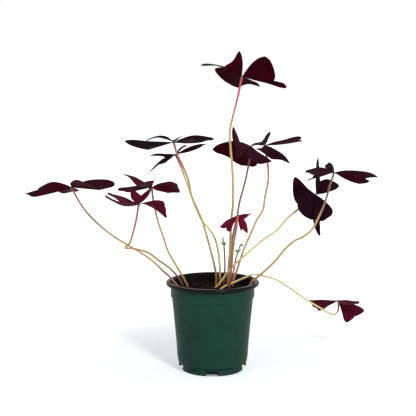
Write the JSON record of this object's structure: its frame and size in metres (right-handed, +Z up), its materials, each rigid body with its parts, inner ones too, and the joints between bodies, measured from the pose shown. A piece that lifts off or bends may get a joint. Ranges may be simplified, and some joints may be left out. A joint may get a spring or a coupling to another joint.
{
  "type": "potted purple shamrock",
  "caption": "Purple shamrock with folded triangular leaflets on long thin stalks, growing from soil in a plain green nursery pot",
  "frame": {"origin": "on the surface that the pot stands on, under the middle of the whole plant's bounding box", "axes": "+X to the right as seen from the front, +Y to the back, +Z up"},
  "size_m": [0.43, 0.1683, 0.391],
  "materials": {
    "pot_plastic": "satin, black inside",
    "soil": "rough, fibrous",
    "rhizome": "scaly",
    "stalk": "smooth, slightly translucent",
    "leaflet": "soft satin",
    "flower_stalk": "smooth",
    "bract": "matt",
    "pedicel": "matt"
  },
  "bodies": {
    "root": {"pot": "pot_plastic", "soil": "soil", "rhizome_left": "rhizome", "rhizome_middle": "rhizome", "rhizome_right": "rhizome", "stalk_top": "stalk", "leaflet_top_1": "leaflet", "leaflet_top_2": "leaflet", "leaflet_top_3": "leaflet", "stalk_upper_left": "stalk", "leaflet_upper_left_1": "leaflet", "leaflet_upper_left_2": "leaflet", "leaflet_upper_left_3": "leaflet", "stalk_thin_left": "stalk", "leaflet_thin_left_1": "leaflet", "leaflet_thin_left_2": "leaflet", "leaflet_thin_left_3": "leaflet", "stalk_far_left": "stalk", "leaflet_far_left_1": "leaflet", "leaflet_far_left_2": "leaflet", "leaflet_far_left_3": "leaflet", "stalk_mid_left": "stalk", "leaflet_mid_left_1": "leaflet", "leaflet_mid_left_2": "leaflet", "leaflet_mid_left_3": "leaflet", "stalk_low_left": "stalk", "leaflet_low_left_1": "leaflet", "leaflet_low_left_2": "leaflet", "leaflet_low_left_3": "leaflet", "stalk_big_right": "stalk", "leaflet_big_right_1": "leaflet", "leaflet_big_right_2": "leaflet", "leaflet_big_right_3": "leaflet", "stalk_back_right": "stalk", "leaflet_back_right_1": "leaflet", "leaflet_back_right_2": "leaflet", "leaflet_back_right_3": "leaflet", "stalk_outer_right": "stalk", "leaflet_outer_right_1": "leaflet", "leaflet_outer_right_2": "leaflet", "leaflet_outer_right_3": "leaflet", "stalk_drooping_right": "stalk", "leaflet_drooping_right_1": "leaflet", "leaflet_drooping_right_2": "leaflet", "leaflet_drooping_right_3": "leaflet", "stalk_small_middle": "stalk", "leaflet_small_middle_1": "leaflet", "leaflet_small_middle_2": "leaflet", "leaflet_small_middle_3": "leaflet", "stalk_low_right": "stalk", "leaflet_low_right_1": "leaflet", "leaflet_low_right_2": "leaflet", "leaflet_low_right_3": "leaflet", "flower_stalk_1": "flower_stalk", "bract_1": "bract", "pedicel_1": "pedicel", "flower_stalk_2": "flower_stalk", "bract_2": "bract", "pedicel_2": "pedicel"}
  },
  "joints": []
}
